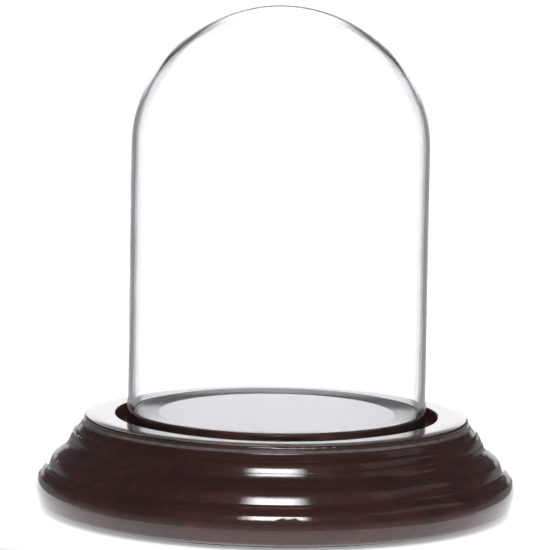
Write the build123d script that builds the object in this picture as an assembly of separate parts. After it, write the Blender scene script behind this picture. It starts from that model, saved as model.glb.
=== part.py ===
from build123d import *
import os
from math import cos, radians, sin

# Bell jar display dome: a blown glass jar stands upside down in the ring groove of a turned,
# lacquered wooden base. The base has a round recess, and the display platform, a smaller dished
# disc glued into the recess, leaves the groove between the two.
#
# Frame: Z up, origin at the centre of the felt's underside, on the surface the base stands on.
# Millimetres. Every piece is blown or turned, so each outline is drawn in XZ and spun about Z.

# Glass dome
DOME_DIAMETER = 100.0
DOME_HEIGHT = 142.0  # rim to crown, outside
SHOULDER_RADIUS = 43.0  # first outside arc above the straight side
SHOULDER_ANGLE = 21.0  # degrees of elevation where the shoulder arc ends
HAUNCH_RADIUS = 49.4
HAUNCH_ANGLE = 76.0  # degrees of elevation where the haunch arc ends and the crown arc begins
SIDE_WALL = 1.8
RIM_GAP = 0.1  # between the glass rim and the floor of the groove
# Blown glass is a little thicker above the haunch: wall by degrees of elevation, crown down.
CROWN_WALLS = {62: 2.2, 38: 1.8}
TOP_WALL = 2.0

# Turned base
BASE_HEIGHT = 32.2  # from the table to the flat ring around the dome
RING_RADIUS = 64.3  # outer edge of the ring
RING_FLAT_RADIUS = 59.4  # the ring is flat to here, then falls a little towards its edge
RING_DROOP = 0.2
RING_DROOP_ARC = 44.0
RECESS_RADIUS = 53.9
RECESS_DEPTH = 4.7
EDGE_BREAK = 0.4  # sanded round edge at the mouth of the recess

# Felt glued under the base
FELT_RADIUS = 70.0
FELT_THICKNESS = 0.8

# Display platform
PLATFORM_RADIUS = 47.8
PLATFORM_WALL_HEIGHT = 5.4  # straight outer wall, up to where the rounded rim begins
PLATFORM_CREST_RADIUS = 47.2
PLATFORM_CREST = 1.4  # the rim's crest stands this far above the ring
DISH_FLOOR_RADIUS = 39.5
DISH_FLOOR = 0.65  # the dish's flat floor lies this far above the ring
DISH_SLOPE_RADIUS = 120.0  # shallow hollow arc from a crease at the floor's edge up to the rim
DISH_SLOPE_DROP = 0.05  # the slope ends this far below the crest
CREST_ARC_RADIUS = 3.6  # inner side of the rounded rim
RIM_ARC_RADIUS = 0.7  # outer side of the rounded rim

# The moulding's outline from the ring's edge down to the foot, as (radius, depth below the ring,
# arc radius of the stretch that ends there). An arc radius above 0 bulges out, below 0 curves
# in, and 0 is a straight stretch.
MOULDING = [
    # rounded ring edge, and the upright below it
    (RING_RADIUS, 0.9, 0.76),
    (RING_RADIUS, 1.35, 0),
    # fine ledge with a rounded lower edge
    (64.45, 1.5, -0.15),
    (64.8, 1.6, 0),
    (65.2, 2.45, 0),
    (65.28, 2.75, 0.6),
    # sloping lip, then the upper bead
    (65.38, 2.87, -0.13),
    (66.7, 4.55, -18.0),
    (66.9, 4.7, -0.4),
    (68.2, 5.95, 2.7),
    (69.1, 8.15, 11.0),
    # quirk under the upper bead, then a cove that runs out to the middle bead
    (69.3, 8.35, -0.25),
    (69.85, 9.6, -20.0),
    (71.3, 11.1, -4.3),
    (73.75, 13.0, 0),
    (75.0, 14.55, 4.8),
    (76.05, 17.15, 18.0),
    # small cove, then the torus that is the widest part of the base
    (76.75, 17.85, -1.3),
    (79.45, 20.4, 5.55),
    (80.35, 24.8, 9.8),
    (79.7, 28.4, 16.0),
    (78.1, 30.0, 2.5),
    # undercut that runs in to the foot
    (73.2, 31.2, 25.0),
]

SEAT_Z = BASE_HEIGHT - RECESS_DEPTH  # floor of the recess, which is also the floor of the groove
FOOT_RADIUS = MOULDING[-1][0]


def outline(start, steps):
    """Join straight stretches and arcs: each step is (r, z, arc radius), signed as in MOULDING."""
    edges = []
    here = start
    for radius, height, bulge in steps:
        there = (radius, height)
        if bulge == 0:
            edges.append(Line(here, there))
        else:
            edges.append(RadiusArc(here, there, bulge))
        here = there
    return edges


def spin(edges):
    """Close the outline lying in XY, stand it up in XZ and spin it about Z."""
    face = Plane.XZ * make_face(edges)
    return revolve(face, Axis.Z, 360)


def make_turned_base():
    edge_radius = RING_RADIUS - MOULDING[0][1] + RING_DROOP
    top = [
        (RING_FLAT_RADIUS, BASE_HEIGHT, 0),
        (edge_radius, BASE_HEIGHT - RING_DROOP, RING_DROOP_ARC),
    ]
    sides = [(r, BASE_HEIGHT - depth, bulge) for r, depth, bulge in MOULDING]
    close = [
        (FOOT_RADIUS, FELT_THICKNESS, 0),
        (0, FELT_THICKNESS, 0),
        (0, SEAT_Z, 0),
        (RECESS_RADIUS, SEAT_Z, 0),
        (RECESS_RADIUS, BASE_HEIGHT - EDGE_BREAK, 0),
        (RECESS_RADIUS + EDGE_BREAK, BASE_HEIGHT, EDGE_BREAK),
    ]
    return spin(outline((RECESS_RADIUS + EDGE_BREAK, BASE_HEIGHT), top + sides + close))


def make_display_platform():
    floor = BASE_HEIGHT + DISH_FLOOR
    crest = BASE_HEIGHT + PLATFORM_CREST
    wall_top = SEAT_Z + PLATFORM_WALL_HEIGHT
    slope_end = 2 * PLATFORM_CREST_RADIUS - PLATFORM_RADIUS
    steps = [
        (DISH_FLOOR_RADIUS, floor, 0),
        (slope_end, crest - DISH_SLOPE_DROP, -DISH_SLOPE_RADIUS),
        (PLATFORM_CREST_RADIUS, crest, CREST_ARC_RADIUS),
        (PLATFORM_RADIUS, wall_top, RIM_ARC_RADIUS),
        (PLATFORM_RADIUS, SEAT_Z, 0),
        (0, SEAT_Z, 0),
        (0, floor, 0),
    ]
    return spin(outline((0, floor), steps))


def dome_arcs():
    """The outside of the dome above its straight side, as three tangent arcs.

    Each is (centre r, centre height above the spring line, radius, first and last elevation).
    """
    side = DOME_DIAMETER / 2
    shoulder_centre = side - SHOULDER_RADIUS
    turn = radians(SHOULDER_ANGLE)
    haunch_r = shoulder_centre + (SHOULDER_RADIUS - HAUNCH_RADIUS) * cos(turn)
    haunch_z = (SHOULDER_RADIUS - HAUNCH_RADIUS) * sin(turn)
    turn = radians(HAUNCH_ANGLE)
    crown_radius = HAUNCH_RADIUS + haunch_r / cos(turn)  # puts the crown arc's centre on the axis
    crown_z = haunch_z + (HAUNCH_RADIUS - crown_radius) * sin(turn)
    return [
        (shoulder_centre, 0.0, SHOULDER_RADIUS, 0.0, SHOULDER_ANGLE),
        (haunch_r, haunch_z, HAUNCH_RADIUS, SHOULDER_ANGLE, HAUNCH_ANGLE),
        (0.0, crown_z, crown_radius, HAUNCH_ANGLE, 90.0),
    ]


def on_dome(elevation, inset, spring_z):
    """The point on the dome's outline whose normal has this elevation, moved in by inset."""
    for centre_r, centre_z, radius, _, last in dome_arcs():
        if elevation <= last:
            break
    reach = radius - inset
    turn = radians(elevation)
    return (centre_r + reach * cos(turn), spring_z + centre_z + reach * sin(turn))


def make_glass_dome():
    side = DOME_DIAMETER / 2
    rim_z = SEAT_Z + RIM_GAP
    rim_radius = SIDE_WALL / 2
    crown_arc = dome_arcs()[-1]
    spring_z = rim_z + DOME_HEIGHT - crown_arc[1] - crown_arc[2]

    edges = [Line((side, rim_z + rim_radius), (side, spring_z))]
    for _, _, _, first, last in dome_arcs():
        ends = [on_dome(angle, 0, spring_z) for angle in (first, (first + last) / 2, last)]
        edges.append(ThreePointArc(*ends))

    top_inside = (0, rim_z + DOME_HEIGHT - TOP_WALL)
    edges.append(Line((0, rim_z + DOME_HEIGHT), top_inside))
    inside = [top_inside]
    for angle, wall in CROWN_WALLS.items():
        inside.append(on_dome(angle, wall, spring_z))
    inside.append((side - SIDE_WALL, spring_z))
    edges.append(Spline(*inside, tangents=[(1, 0), (0, -1)]))

    rim_inner = (side - SIDE_WALL, rim_z + rim_radius)
    rim_outer = (side, rim_z + rim_radius)
    edges.append(Line(inside[-1], rim_inner))
    edges.append(ThreePointArc(rim_inner, (side - rim_radius, rim_z), rim_outer))
    return spin(edges)


def make_felt_pad():
    return Cylinder(FELT_RADIUS, FELT_THICKNESS, align=(Align.CENTER, Align.CENTER, Align.MIN))


PIECES = {
    "turned_base": make_turned_base,
    "display_platform": make_display_platform,
    "glass_dome": make_glass_dome,
    "felt_pad": make_felt_pad,
}

os.makedirs("parts", exist_ok=True)
for name, make in PIECES.items():
    piece = make()
    piece.label = name
    export_step(piece, f"parts/{name}.step")
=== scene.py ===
import math
import random

import bmesh
import bpy
from mathutils import Matrix, Vector


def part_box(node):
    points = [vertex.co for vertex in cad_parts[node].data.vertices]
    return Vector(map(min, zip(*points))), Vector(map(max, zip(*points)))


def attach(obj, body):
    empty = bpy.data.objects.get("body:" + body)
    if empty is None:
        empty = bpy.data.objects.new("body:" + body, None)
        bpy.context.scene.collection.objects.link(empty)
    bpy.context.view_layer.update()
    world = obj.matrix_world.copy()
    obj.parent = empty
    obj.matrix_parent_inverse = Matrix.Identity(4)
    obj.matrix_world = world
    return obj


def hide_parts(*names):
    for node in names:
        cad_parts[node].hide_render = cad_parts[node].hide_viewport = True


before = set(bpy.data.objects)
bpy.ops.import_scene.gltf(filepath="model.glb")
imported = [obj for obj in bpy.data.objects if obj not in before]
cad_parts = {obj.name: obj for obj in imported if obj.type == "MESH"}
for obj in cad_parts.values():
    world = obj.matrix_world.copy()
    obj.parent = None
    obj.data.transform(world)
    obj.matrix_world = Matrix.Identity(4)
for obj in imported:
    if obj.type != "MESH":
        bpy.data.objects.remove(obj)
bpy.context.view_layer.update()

# Metres, in the CAD frame: the object stands on Z = 0 and its axis is Z.
MM = 0.001
RING_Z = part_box("turned_base")[1].z
GLASS_LOW, GLASS_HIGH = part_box("glass_dome")


# ---------------------------------------------------------------- node helpers

class Tree:
    """Short calls that add nodes to a material's or a world's node tree and link them."""

    def __init__(self, owner):
        owner.use_nodes = True
        self.tree = owner.node_tree
        self.nodes = self.tree.nodes

    def add(self, kind, **settings):
        node = self.nodes.new(kind)
        for name, value in settings.items():
            setattr(node, name, value)
        return node

    def feed(self, socket, value):
        if isinstance(value, bpy.types.NodeSocket):
            self.tree.links.new(value, socket)
        else:
            socket.default_value = value

    def place(self):
        """Each point's place on the object, in metres in the CAD frame."""
        return self.add("ShaderNodeTexCoord").outputs["Object"]

    def split(self, vector):
        node = self.add("ShaderNodeSeparateXYZ")
        self.feed(node.inputs[0], vector)
        return node.outputs

    def math(self, operation, a, b=0.0, c=0.0):
        node = self.add("ShaderNodeMath", operation=operation)
        for socket, value in zip(node.inputs, (a, b, c)):
            self.feed(socket, value)
        return node.outputs[0]

    def step(self, value, low, high, out_low=0.0, out_high=1.0):
        """Smooth step from out_low at low to out_high at high. low may be above high."""
        node = self.add("ShaderNodeMapRange", interpolation_type="SMOOTHSTEP")
        rising = low < high
        ends = (low, high, out_low, out_high) if rising else (high, low, out_high, out_low)
        for socket, number in zip(node.inputs, (value, *ends)):
            self.feed(socket, number)
        return node.outputs[0]

    def vector(self, operation, a, b=(0.0, 0.0, 0.0), output="Vector"):
        node = self.add("ShaderNodeVectorMath", operation=operation)
        self.feed(node.inputs[0], a)
        self.feed(node.inputs[1], b)
        return node.outputs[output]

    def scale(self, vector, factor):
        node = self.add("ShaderNodeVectorMath", operation="SCALE")
        self.feed(node.inputs[0], vector)
        self.feed(node.inputs["Scale"], factor)
        return node.outputs[0]

    def noise(self, vector, scale, detail=3.0, roughness=0.5, distortion=0.0, output="Fac"):
        node = self.add("ShaderNodeTexNoise")
        self.feed(node.inputs["Vector"], vector)
        node.inputs["Scale"].default_value = scale
        node.inputs["Detail"].default_value = detail
        node.inputs["Roughness"].default_value = roughness
        node.inputs["Distortion"].default_value = distortion
        return node.outputs[output]

    def ramp(self, value, stops):
        node = self.add("ShaderNodeValToRGB")
        ramp = node.color_ramp
        while len(ramp.elements) < len(stops):
            ramp.elements.new(0.5)
        for element, (place, colour) in zip(ramp.elements, stops):
            element.position = place
            element.color = (*colour, 1)
        self.feed(node.inputs[0], value)
        return node.outputs[0]

    def mix(self, factor, a, b):
        node = self.add("ShaderNodeMix", data_type="RGBA")
        self.feed(node.inputs[0], factor)
        self.feed(node.inputs[6], a)
        self.feed(node.inputs[7], b)
        return node.outputs[2]

    def bump(self, height, strength, distance):
        node = self.add("ShaderNodeBump")
        node.inputs["Strength"].default_value = strength
        node.inputs["Distance"].default_value = distance
        self.feed(node.inputs["Height"], height)
        return node.outputs[0]


def new_material(name, constants):
    """A material, its tree and its Principled shader, with these inputs set to constants."""
    material = bpy.data.materials.new(name)
    tree = Tree(material)
    shader = tree.nodes["Principled BSDF"]
    for socket, value in constants.items():
        shader.inputs[socket].default_value = value
    return material, tree, shader


# ---------------------------------------------------------------- mesh helpers

ON_AXIS = 1e-9  # a profile point nearer the axis than this is one point, not a row


def add_object(name, data):
    obj = bpy.data.objects.new(name, data)
    bpy.context.collection.objects.link(obj)
    return obj


def add_shape(name, shape, material, smooth=True):
    """Make the drawn shape an object with one material."""
    mesh = bpy.data.meshes.new(name)
    for face in shape.faces:
        face.smooth = smooth
    shape.to_mesh(mesh)
    shape.free()
    mesh.materials.append(material)
    return add_object(name, mesh)


def round_row(shape, radius, z, segments):
    """A row of points around the axis."""
    turn = 2 * math.pi / segments
    return [
        shape.verts.new((radius * math.cos(i * turn), radius * math.sin(i * turn), z))
        for i in range(segments)
    ]


def join_rows(shape, upper, lower, flip=False):
    """Faces between two rows of points around the axis. A row of one point is a pole."""
    count = max(len(upper), len(lower))
    for i in range(count):
        j = (i + 1) % count
        if len(upper) == 1:
            corners = (upper[0], lower[i], lower[j])
        elif len(lower) == 1:
            corners = (upper[i], lower[0], upper[j])
        else:
            corners = (upper[i], lower[i], lower[j], upper[j])
        shape.faces.new(corners[::-1] if flip else corners)


def lathe(name, profile, segments, material):
    """Spin (r, z) points about Z. The first and last points lie on the axis."""
    shape = bmesh.new()
    rows = []
    for r, z in profile:
        pole = r < ON_AXIS
        rows.append([shape.verts.new((0, 0, z))] if pole else round_row(shape, r, z, segments))
    for upper, lower in zip(rows, rows[1:]):
        join_rows(shape, upper, lower)
    return add_shape(name, shape, material)


# ---------------------------------------------------------------- camera

CAMERA_DISTANCE = 1.6251  # from the centre of the flat ring around the dome
CAMERA_RISE = 9.224  # degrees above the ring's plane
CAMERA_PITCH = -7.586
CAMERA_YAW = -0.044
CAMERA_ROLL = 0.928  # the camera leans a little, so the object leans the other way
CAMERA_LENS = 317.8
CAMERA_CLIP = (0.05, 50)


def make_camera():
    data = bpy.data.cameras.new("camera")
    data.lens = CAMERA_LENS
    data.clip_start, data.clip_end = CAMERA_CLIP
    camera = add_object("camera", data)
    rise, pitch, yaw, roll = (
        math.radians(a) for a in (CAMERA_RISE, CAMERA_PITCH, CAMERA_YAW, CAMERA_ROLL)
    )
    back, up = CAMERA_DISTANCE * math.cos(rise), CAMERA_DISTANCE * math.sin(rise)
    camera.location = (0, -back, RING_Z + up)
    flat = math.cos(pitch)
    forward = Vector((math.sin(yaw) * flat, math.cos(yaw) * flat, math.sin(pitch)))
    level = Vector((math.cos(yaw), -math.sin(yaw), 0))
    above = level.cross(forward)
    right = level * math.cos(roll) + above * math.sin(roll)
    over = above * math.cos(roll) - level * math.sin(roll)
    camera.rotation_euler = Matrix((right, over, -forward)).transposed().to_euler()
    bpy.context.scene.camera = camera


# ---------------------------------------------------------------- stage and light

FLOOR_RADIUS = 0.26
FLOOR_FADE = 0.5 * FLOOR_RADIUS  # from here the table fades out towards its edge
FLOOR_SEGMENTS = 96
POOL_BEHIND = 0.06  # the light pool on the table is centred this far behind the object
POOL_EDGE = (0.138, 0.182)
POOL_LIGHT = (1.28, 0.22)  # strength inside the pool and outside it
OVERHANG = (0.071, 0.085)  # under the base's overhang the table is in shade
OVERHANG_SHADE = 0.25
WHITE = (0.975, 0.97, 1.0)  # studio white, a little cool
FLOOR_FINISH = {
    "Base Color": (0.6, 0.6, 0.61, 1),
    "Roughness": 1,
    "Specular IOR Level": 0,
    "Emission Color": (*WHITE, 1),
}


def floor_material():
    """White table with a pool of light around the object, centred behind it.

    The table fades out into the room, and shows from above only, so that the underside can be
    seen.
    """
    material, tree, shader = new_material("white_table", FLOOR_FINISH)
    place = tree.place()
    from_pool = tree.vector("DISTANCE", place, (0, POOL_BEHIND, 0), "Value")
    from_middle = tree.vector("LENGTH", place, output="Value")
    pool = tree.step(from_pool, *POOL_EDGE, *POOL_LIGHT)
    shade = tree.step(from_middle, *OVERHANG, OVERHANG_SHADE, 1)
    tree.feed(shader.inputs["Emission Strength"], tree.math("MULTIPLY", pool, shade))
    clear = tree.add("ShaderNodeBsdfTransparent")
    below = tree.add("ShaderNodeNewGeometry").outputs["Backfacing"]
    fade = tree.step(from_middle, FLOOR_FADE, FLOOR_RADIUS)
    mixed = tree.add("ShaderNodeMixShader")
    tree.feed(mixed.inputs[0], tree.math("MAXIMUM", fade, below))
    tree.feed(mixed.inputs[1], shader.outputs[0])
    tree.feed(mixed.inputs[2], clear.outputs[0])
    tree.feed(tree.nodes["Material Output"].inputs["Surface"], mixed.outputs[0])
    return material


def make_floor():
    shape = bmesh.new()
    shape.faces.new(round_row(shape, FLOOR_RADIUS, 0, FLOOR_SEGMENTS))
    floor = add_shape("floor", shape, floor_material(), smooth=False)


# What the room looks like from the object, by azimuth and elevation in degrees: azimuth 0 is
# straight behind the object and positive to its right, so 180 is the camera's side. Each glow is
# (azimuth, half width, soft edge), (elevation, half height, soft edge), strength, and where glows
# overlap the brightest counts.
ROOM_DIM = 0.06
GLOWS = {
    "horizon": ((0, 180, 1), (-8, 10, 8), 0.3),
    "backdrop": ((0, 12, 4), (-8, 9, 4), 1.8),
    "backdrop_top": ((0, 7.2, 4), (6.2, 4.3, 2.5), 2.0),
    "backdrop_strip": ((0, 20, 6), (5.2, 2.4, 2.2), 1.0),
    "around_backdrop": ((0, 14, 8), (14, 10, 8), 0.2),
    "overhead_behind": ((0, 10, 8), (44, 23, 4.5), 1.7),
    "front_softbox": ((180, 7, 13), (31.5, 4, 3.8), 24.0),
    "right_panel": ((97, 26, 8), (38, 8, 8), 0.36),
}


def window(tree, angle, centre, half, soft, wrap=False):
    """1 within half of the centre, fading to 0 over the soft edge. Degrees; angle in radians."""
    off = tree.math("SUBTRACT", angle, math.radians(centre))
    if wrap:
        off = tree.math("WRAP", off, math.pi, -math.pi)
    off = tree.math("ABSOLUTE", off)
    return tree.step(off, math.radians(half + soft), math.radians(half))


def make_world():
    world = bpy.data.worlds.new("studio")
    bpy.context.scene.world = world
    tree = Tree(world)
    x, y, z = tree.split(tree.add("ShaderNodeTexCoord").outputs["Generated"])
    azimuth = tree.math("ARCTAN2", x, y)
    elevation = tree.math("ARCSINE", z)
    total = ROOM_DIM
    for across, upward, strength in GLOWS.values():
        inside = tree.math(
            "MULTIPLY",
            window(tree, azimuth, *across, wrap=True),
            window(tree, elevation, *upward),
        )
        total = tree.math("MAXIMUM", tree.math("MULTIPLY", inside, strength), total)
    background = tree.nodes["Background"]
    background.inputs["Color"].default_value = (*WHITE, 1)
    tree.feed(background.inputs["Strength"], total)


# ---------------------------------------------------------------- glass

GLASS_FINISH = {
    "Base Color": (0.985, 0.985, 0.99, 1),
    "Transmission Weight": 1,
    "IOR": 1.5,
    "Roughness": 0,
}
GLASS_WAVE_SCALE = 45
GLASS_WAVE_BUMP = (0.12, 0.4 * MM)  # strength and height of the blown glass's faint waves


def glass_material():
    material, tree, shader = new_material("blown_glass", GLASS_FINISH)
    wave = tree.noise(tree.place(), GLASS_WAVE_SCALE, detail=1)
    tree.feed(shader.inputs["Normal"], tree.bump(wave, *GLASS_WAVE_BUMP))
    return material


# ---------------------------------------------------------------- lacquered wood

WOOD_FINISH = {
    "Roughness": 0.45,
    "Specular IOR Level": 0.1,
    "Coat Roughness": 0.06,
    "Coat IOR": 1.55,
}
WOOD_TONES = [
    (0.36, (0.030, 0.0130, 0.0115)),
    (0.50, (0.043, 0.0168, 0.0137)),
    (0.60, (0.058, 0.0202, 0.0156)),
    (0.74, (0.080, 0.0250, 0.0172)),
]

# Noise in the wood, as (factor on X, scale): the smaller the factor, the longer along the grain.
DRIFT = (0.35, 14)
STREAKS = (0.04, 380)
BROAD = (0.07, 90)
PORES = (0.11, 2600)
DRIFT_REACH = (0.004, 0.004, 0.004)  # how far the drift bends the grain
STREAK_SHARE, BROAD_SHARE = 0.55, 0.45  # of the tone
PORE_EDGE = (0.64, 0.72)
PORE_STRENGTH = 0.7
PORE_DARK = (0.006, 0.003, 0.0025, 1)
GRAIN_BUMP = (0.15, 0.05 * MM)  # strength and height

# The lacquer's relief: orange peel, and each other noise with its share beside the peel's 1.
PEEL_SCALE = 900
SAG_SCALE, SAG_SHARE = 120, 0.35
NIB_SCALE, NIB_SHARE = 3200, 0.7
NIB_EDGE = (0.66, 0.78)
SPECK_SCALE = 2600
DULL_SPECKS, THIN_SPECKS = 0.9, 5
COAT_BUMP = (0.22, 0.03 * MM)  # strength and height

# Where the lacquer is thin it is dull. There the wood's colour is also painted lighter and a little
# grey, as painted light in the base's recess and on the platform's outer wall.
THIN_COAT_LOSS = 0.65
PAINTED_LIGHT_GAIN = 3.4
PAINTED_LIGHT_GREY = (0.060, 0.052, 0.048, 1)
PAINTED_LIGHT_GREY_COVER = 0.35
DULL_COAT_LOSS = 0.25

# Painted reflection: the fine ledge's wood is painted paler and grey, in patches, standing in for
# the light band that the ledge reflects.
PAINTED_LEDGE_LIGHT = (0.185, 0.165, 0.175, 1)
LEDGE_LIGHT_SHARE = 0.75  # how much of the painted light colour covers the stain
LEDGE_LIGHT_PATCH_SCALE = 420
LEDGE_LIGHT_PATCH_EDGE = (0.3, 0.6)
LEDGE_LIGHT_PATCH_RANGE = (0.7, 1)

# Where the finishes and the painted light change. Depths are below the ring, and the soft edges are
# fades.
GROOVE_DEPTH = 0.5 * MM
GROOVE_RADIUS = 54.2 * MM
LEDGE_TOP, LEDGE_TOP_SOFT = 1.5 * MM, 0.1 * MM
LEDGE_FOOT, LEDGE_FOOT_SOFT = 2.5 * MM, 0.2 * MM
LEDGE_RADIUS = 64.35 * MM
PLATFORM_WALL, PLATFORM_WALL_SOFT = 47.5 * MM, 0.15 * MM  # the outer wall lies outside this
DISH_FLOOR = 39.7 * MM  # the dish's slope lies outside this radius
SLOPE_SOFT = 0.3 * MM


# Each zone is 1 where its finish or its painted light is, from a point's distance to the axis and
# its height.

def groove_zone(tree, radius, height):
    """The walls and floor of the base's recess."""
    below = tree.math("LESS_THAN", height, RING_Z - GROOVE_DEPTH)
    return tree.math("MULTIPLY", below, tree.math("LESS_THAN", radius, GROOVE_RADIUS))


def ledge_zone(tree, radius, height):
    """The fine ledge under the ring, where a paler colour is painted as the light band the ledge
    reflects.
    """
    foot = tree.step(height, RING_Z - LEDGE_FOOT, RING_Z - LEDGE_FOOT + LEDGE_FOOT_SOFT)
    top = tree.step(height, RING_Z - LEDGE_TOP + LEDGE_TOP_SOFT, RING_Z - LEDGE_TOP)
    outside = tree.math("GREATER_THAN", radius, LEDGE_RADIUS)
    return tree.math("MULTIPLY", tree.math("MULTIPLY", foot, top), outside)


def wall_zone(tree, radius, height):
    """The platform's outer wall."""
    return tree.step(
        radius, PLATFORM_WALL - PLATFORM_WALL_SOFT, PLATFORM_WALL + PLATFORM_WALL_SOFT
    )


def slope_zone(tree, radius, height):
    """The slope of the platform's dish, which is rubbed less smooth than its floor."""
    inside = tree.step(radius, PLATFORM_WALL, PLATFORM_WALL - SLOPE_SOFT)
    return tree.math("MULTIPLY", tree.step(radius, DISH_FLOOR - SLOPE_SOFT, DISH_FLOOR), inside)


def grain_noise(tree, place, along, scale, **settings):
    return tree.noise(tree.vector("MULTIPLY", place, (along, 1, 1)), scale, **settings)


def wood_grain(tree, place):
    """The fine streaks, and the stained wood's colour with its pores. The grain runs on X."""
    drift = grain_noise(tree, place, *DRIFT, detail=1, output="Color")
    bent = tree.vector("ADD", place, tree.vector("MULTIPLY", drift, DRIFT_REACH))
    streaks = grain_noise(tree, bent, *STREAKS, detail=4, roughness=0.6)
    broad = grain_noise(tree, bent, *BROAD, detail=2)
    fine = tree.math("MULTIPLY", streaks, STREAK_SHARE)
    colour = tree.ramp(tree.math("MULTIPLY_ADD", broad, BROAD_SHARE, fine), WOOD_TONES)
    pores = tree.step(grain_noise(tree, bent, *PORES, detail=1), *PORE_EDGE)
    return streaks, tree.mix(tree.math("MULTIPLY", pores, PORE_STRENGTH), colour, PORE_DARK)


def lacquer_relief(tree, place, thin, dull):
    """Orange peel, sags and dust nibs, and fine specks where the lacquer is thin or dull."""
    peel = tree.noise(place, PEEL_SCALE, detail=2)
    sag = tree.noise(place, SAG_SCALE, detail=1)
    nibs = tree.step(tree.noise(place, NIB_SCALE, detail=1), *NIB_EDGE)
    specks = tree.noise(place, SPECK_SCALE, detail=2)
    where_dull = tree.math("MULTIPLY", dull, DULL_SPECKS)
    where_thin = tree.math("MULTIPLY", thin, THIN_SPECKS)
    level = tree.math("MULTIPLY_ADD", sag, SAG_SHARE, peel)
    level = tree.math("MULTIPLY_ADD", nibs, NIB_SHARE, level)
    rough = tree.math("MAXIMUM", where_dull, where_thin)
    return tree.math("MULTIPLY_ADD", specks, rough, level)


def wood_material(name, thin_coat_and_painted_light_zone, dull_zone=None, painted_light_zone=None):
    """Straight-grained mahogany, stained dark, under clear gloss lacquer.

    In thin_coat_and_painted_light_zone the lacquer is thin and speckled and the wood is painted
    lighter and greyer as painted light; the lacquer is a little dull in dull_zone, and
    painted_light_zone holds a painted reflection.
    """
    material, tree, shader = new_material(name, WOOD_FINISH)
    place = tree.place()
    radius = tree.vector("LENGTH", tree.vector("MULTIPLY", place, (1, 1, 0)), output="Value")
    height = tree.split(place)[2]
    thin = thin_coat_and_painted_light_zone(tree, radius, height)
    dull = dull_zone(tree, radius, height) if dull_zone else 0.0

    streaks, colour = wood_grain(tree, place)
    # Painted light: where the thin-coat mask is, the colour is painted lighter and greyer, standing
    # in for light in the recess and on the platform's outer wall.
    colour = tree.scale(colour, tree.math("MULTIPLY_ADD", thin, PAINTED_LIGHT_GAIN - 1, 1))
    colour = tree.mix(tree.math("MULTIPLY", thin, PAINTED_LIGHT_GREY_COVER), colour, PAINTED_LIGHT_GREY)
    # Painted reflection: the ledge's paler, patchy colour stands in for the light band it reflects.
    if painted_light_zone:
        patchy = tree.step(tree.noise(place, LEDGE_LIGHT_PATCH_SCALE), *LEDGE_LIGHT_PATCH_EDGE, *LEDGE_LIGHT_PATCH_RANGE)
        painted_light = tree.math("MULTIPLY", painted_light_zone(tree, radius, height), patchy)
        colour = tree.mix(tree.math("MULTIPLY", painted_light, LEDGE_LIGHT_SHARE), colour, PAINTED_LEDGE_LIGHT)
    tree.feed(shader.inputs["Base Color"], colour)
    tree.feed(shader.inputs["Normal"], tree.bump(streaks, *GRAIN_BUMP))

    coat = tree.math("MULTIPLY_ADD", thin, -THIN_COAT_LOSS, 1)
    coat = tree.math("MULTIPLY_ADD", dull, -DULL_COAT_LOSS, coat)
    tree.feed(shader.inputs["Coat Weight"], coat)
    relief = lacquer_relief(tree, place, thin, dull)
    tree.feed(shader.inputs["Coat Normal"], tree.bump(relief, *COAT_BUMP))
    return material


# ---------------------------------------------------------------- glass dome

# The dome's outline repeats the CAD design: three tangent arcs outside, and a wall that is thickest
# high on the haunch and a little thinner again at the top.
SHOULDER = (43.0 * MM, 21.0)  # arc radius, and the elevation in degrees where the arc ends
HAUNCH = (49.4 * MM, 76.0)
SIDE_WALL = 1.8 * MM
WALLS = [(90, 2.0), (62, 2.2), (38, 1.8), (0, 1.8)]  # degrees of elevation, wall in mm
DOME_SEGMENTS = 256
ARC_STEPS = 90  # from the straight side to the top
RIM_STEPS = 12
# Rows along the straight side, close together at the rim, keep its shading straight.
SIDE_ROWS = [0.01, 0.03, 0.1, 0.3, 0.6, 0.9]


def dome_arcs(side):
    """The arcs above the straight side, as (centre r, centre height, radius, last elevation)."""
    centre = side - SHOULDER[0]
    turn = math.radians(SHOULDER[1])
    haunch_r = centre + (SHOULDER[0] - HAUNCH[0]) * math.cos(turn)
    haunch_z = (SHOULDER[0] - HAUNCH[0]) * math.sin(turn)
    turn = math.radians(HAUNCH[1])
    crown = HAUNCH[0] + haunch_r / math.cos(turn)
    crown_z = haunch_z + (HAUNCH[0] - crown) * math.sin(turn)
    return [
        (centre, 0.0, SHOULDER[0], SHOULDER[1]),
        (haunch_r, haunch_z, HAUNCH[0], HAUNCH[1]),
        (0.0, crown_z, crown, 90.0),
    ]


def on_dome(arcs, elevation, inset, spring_z):
    """The point on the outline whose normal has this elevation, moved in by inset."""
    for centre_r, centre_z, radius, last in arcs:
        if elevation <= last:
            break
    turn = math.radians(elevation)
    reach = radius - inset
    return (centre_r + reach * math.cos(turn), spring_z + centre_z + reach * math.sin(turn))


def wall_at(elevation):
    """Wall thickness at an elevation on the dome: a smooth curve through WALLS."""
    last = len(WALLS) - 1
    for i in range(last):
        high, low = WALLS[i], WALLS[i + 1]
        if elevation >= low[0]:
            break
    before, after = WALLS[max(i - 1, 0)], WALLS[min(i + 2, last)]
    span = low[0] - high[0]
    t = (elevation - high[0]) / span
    rise_high = (low[1] - before[1]) / (low[0] - before[0]) * span if i else 0
    rise_low = (after[1] - high[1]) / (after[0] - high[0]) * span if i + 1 < last else 0
    wall = (
        high[1] * (1 + 2 * t) * (1 - t) ** 2
        + rise_high * t * (1 - t) ** 2
        + low[1] * t * t * (3 - 2 * t)
        + rise_low * t * t * (t - 1)
    )
    return wall * MM


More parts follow.
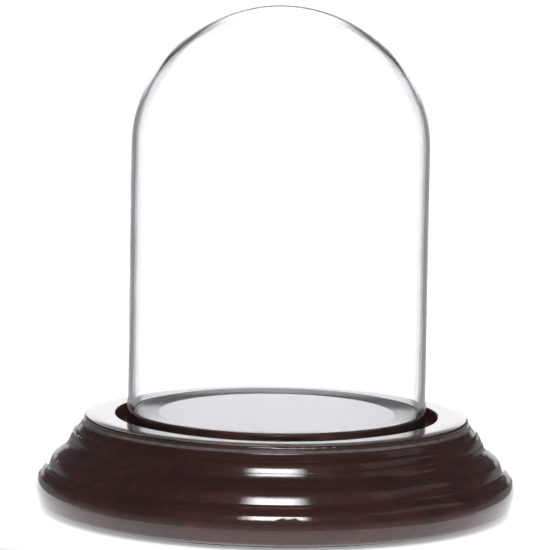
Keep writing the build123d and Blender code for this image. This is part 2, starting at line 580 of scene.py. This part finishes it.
def dome_profile():
    """The glass's outline from the top down the outside, around the rim and up the inside."""
    side = (GLASS_HIGH.x - GLASS_LOW.x) / 2
    arcs = dome_arcs(side)
    spring_z = GLASS_HIGH.z - arcs[-1][1] - arcs[-1][2]
    rim_radius = SIDE_WALL / 2
    rim_z = GLASS_LOW.z + rim_radius
    elevations = [90 * i / ARC_STEPS for i in range(ARC_STEPS + 1)]
    outside = [on_dome(arcs, elevation, 0, spring_z) for elevation in reversed(elevations)]
    inside = [on_dome(arcs, elevation, wall_at(elevation), spring_z) for elevation in elevations]
    rim = []
    for i in range(RIM_STEPS + 1):
        turn = -math.pi * i / RIM_STEPS
        r = side - rim_radius + rim_radius * math.cos(turn)
        rim.append((r, rim_z + rim_radius * math.sin(turn)))
    rise = spring_z - rim_z
    going_down = [(side, rim_z + rise * t) for t in reversed(SIDE_ROWS)]
    going_up = [(side - SIDE_WALL, rim_z + rise * t) for t in SIDE_ROWS]
    return outside + going_down + rim + going_up + inside


def make_dome():
    dome = lathe("blown_dome", dome_profile(), DOME_SEGMENTS, glass_material())
    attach(dome, "dome")
    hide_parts("glass_dome")


# ---------------------------------------------------------------- felt pad

FELT_FINISH = {"Roughness": 0.95, "Sheen Weight": 0.6, "Sheen Roughness": 0.5}
FELT_TONES = [(0.3, (0.010, 0.010, 0.011)), (0.7, (0.034, 0.034, 0.037))]
FELT_FINE_SCALE, FELT_FINE_SHARE = 1500, 0.65
FELT_BLOTCH_SCALE, FELT_BLOTCH_SHARE = 60, 0.35
FELT_BUMP = (0.6, 0.2 * MM)  # strength and height
FELT_SEED = 7
FELT_RINGS = 44
FELT_SEGMENTS = 256
FELT_NAP = 0.09 * MM  # unevenness of the pressed surface
NAP_RISE = 4  # the nap grows from nothing at the centre to full at 1 / NAP_RISE of the way out
FELT_RAGGED = 0.35 * MM  # how far the cut edge wavers
FELT_INSET = 0.25 * MM  # the cut edge slopes in by this much towards the underside
FELT_FIBRES = 3000
FIBRE_WIDTH = 0.05 * MM
FIBRE_REACH = 0.9 * MM
FIBRE_POINTS = 4
FIBRE_BEND = 0.9  # radians between one stretch and the next, at most
FIBRE_LIFT = 0.01 * MM


def felt_material():
    material, tree, shader = new_material("felt", FELT_FINISH)
    place = tree.place()
    fibres = tree.noise(place, FELT_FINE_SCALE, detail=5, roughness=0.7, distortion=1.5)
    blotch = tree.noise(place, FELT_BLOTCH_SCALE, detail=2)
    fine = tree.math("MULTIPLY", fibres, FELT_FINE_SHARE)
    tone = tree.math("MULTIPLY_ADD", blotch, FELT_BLOTCH_SHARE, fine)
    tree.feed(shader.inputs["Base Color"], tree.ramp(tone, FELT_TONES))
    tree.feed(shader.inputs["Normal"], tree.bump(fibres, *FELT_BUMP))
    return material


def felt_sheet(shape, edge, z, nap, rng):
    """A round sheet out to the edge's radii, as rows from the centre, raised unevenly by nap."""
    turn = 2 * math.pi / FELT_SEGMENTS
    sheet = [[shape.verts.new((0, 0, z))]]
    for ring in range(1, FELT_RINGS + 1):
        share = ring / FELT_RINGS
        row = []
        for i, radius in enumerate(edge):
            r = radius * share
            lift = nap * rng.random() * min(1, NAP_RISE * share)
            x, y = r * math.cos(i * turn), r * math.sin(i * turn)
            row.append(shape.verts.new((x, y, z + lift)))
        sheet.append(row)
    return sheet


def felt_skin(shape, low, high, rng):
    """A thin disc with an uneven underside and a ragged, sloping cut edge, inside the CAD box."""
    reach = (high.x - low.x) / 2
    ragged = [reach - FELT_RAGGED * rng.random() ** 2 for _ in range(FELT_SEGMENTS)]
    under = felt_sheet(shape, [radius - FELT_INSET for radius in ragged], low.z, FELT_NAP, rng)
    top = felt_sheet(shape, ragged, high.z, 0.0, rng)
    for sheet, down in ((under, True), (top, False)):
        for inner, outer in zip(sheet, sheet[1:]):
            join_rows(shape, inner, outer, flip=down)
    for i in range(FELT_SEGMENTS):
        j = (i + 1) % FELT_SEGMENTS
        shape.faces.new((under[-1][i], under[-1][j], top[-1][j], top[-1][i]))


def felt_fibres(shape, low, high, rng):
    """Loose fibres that lie on the underside, each a thin bent ribbon."""
    reach = (high.x - low.x) / 2 - FIBRE_REACH
    for _ in range(FELT_FIBRES):
        r = reach * math.sqrt(rng.random())
        turn = rng.uniform(0, 2 * math.pi)
        x, y = r * math.cos(turn), r * math.sin(turn)
        heading = rng.uniform(0, 2 * math.pi)
        bend = rng.uniform(-FIBRE_BEND, FIBRE_BEND)
        edge = []
        for step in range(FIBRE_POINTS):
            across = (-math.sin(heading) * FIBRE_WIDTH / 2, math.cos(heading) * FIBRE_WIDTH / 2)
            z = low.z + FIBRE_LIFT * (1 + step % 2)
            edge.append((
                shape.verts.new((x + across[0], y + across[1], z)),
                shape.verts.new((x - across[0], y - across[1], z)),
            ))
            x += math.cos(heading) * FIBRE_REACH / FIBRE_POINTS
            y += math.sin(heading) * FIBRE_REACH / FIBRE_POINTS
            heading += bend
        for here, there in zip(edge, edge[1:]):
            shape.faces.new((here[0], here[1], there[1], there[0]))


def make_felt():
    low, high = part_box("felt_pad")
    rng = random.Random(FELT_SEED)
    shape = bmesh.new()
    felt_skin(shape, low, high, rng)
    felt_fibres(shape, low, high, rng)
    felt = add_shape("pressed_felt", shape, felt_material())
    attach(felt, "base")
    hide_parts("felt_pad")


# ---------------------------------------------------------------- the scene

def give(obj, material):
    obj.data.materials.clear()
    obj.data.materials.append(material)


make_camera()
make_floor()
make_world()

# The base gets painted light in its recess and a painted reflection on its fine ledge.
give(
    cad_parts["turned_base"],
    wood_material("lacquered_wood", groove_zone, painted_light_zone=ledge_zone),
)
# The platform gets painted light on its outer wall.
give(
    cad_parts["display_platform"],
    wood_material("lacquered_wood_platform", wall_zone, slope_zone),
)
make_dome()
make_felt()

bpy.context.scene.view_settings.view_transform = "Standard"
